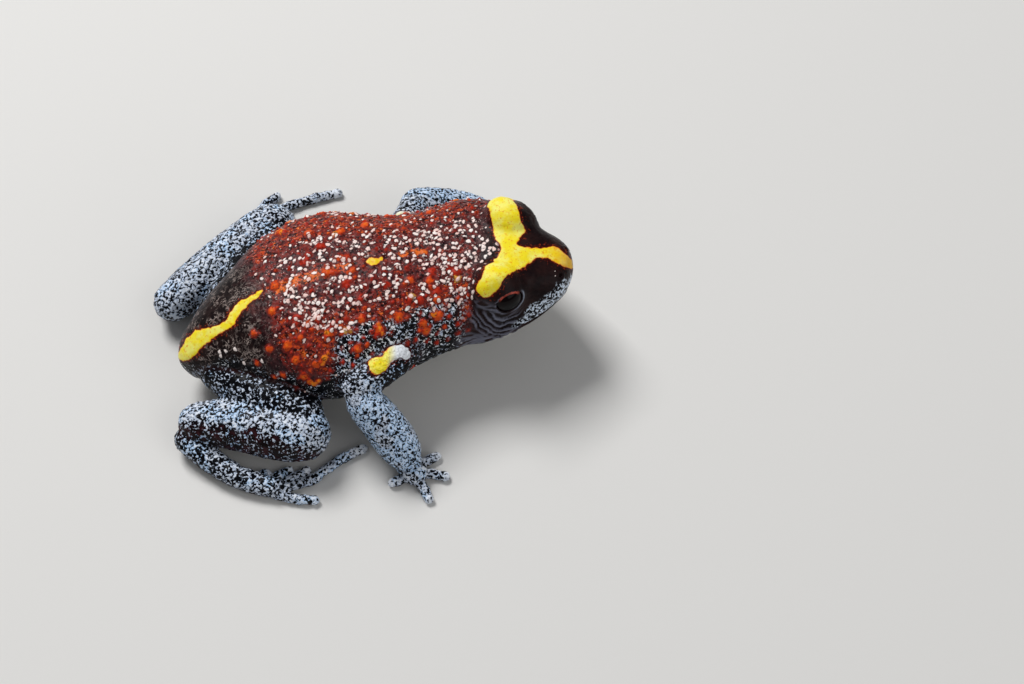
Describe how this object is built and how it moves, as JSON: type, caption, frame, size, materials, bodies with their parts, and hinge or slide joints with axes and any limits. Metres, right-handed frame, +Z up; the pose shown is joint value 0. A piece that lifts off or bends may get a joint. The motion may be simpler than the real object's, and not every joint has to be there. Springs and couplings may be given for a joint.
{
  "type": "red-crowned toadlet",
  "caption": "Small ground frog standing on spread hands and folded hind legs, head turned a little to its right, as a still life-size model.",
  "frame": {"origin": "On the floor under the middle of the whole figure's box, so the hands and feet stand on z = 0.", "axes": "+X runs from vent towards snout, +Y is to the animal's left, +Z is up."},
  "size_m": [0.0292, 0.027, 0.0099],
  "materials": {
    "skin_back": "moist, slightly glossy, warty skin",
    "skin_head": "moist, slightly glossy, smooth skin",
    "skin_limb": "moist, slightly glossy, finely flecked skin",
    "eye": "wet, very glossy"
  },
  "bodies": {
    "root": {"torso": "skin_back", "head": "skin_head", "eye_left": "eye", "eye_right": "eye", "upper_arm_left": "skin_limb", "upper_arm_right": "skin_limb", "forearm_left": "skin_limb", "forearm_right": "skin_limb", "hand_left": "skin_limb", "hand_right": "skin_limb", "thigh_left": "skin_limb", "thigh_right": "skin_limb", "shank_left": "skin_limb", "shank_right": "skin_limb", "foot_left": "skin_limb", "foot_right": "skin_limb"}
  },
  "joints": []
}
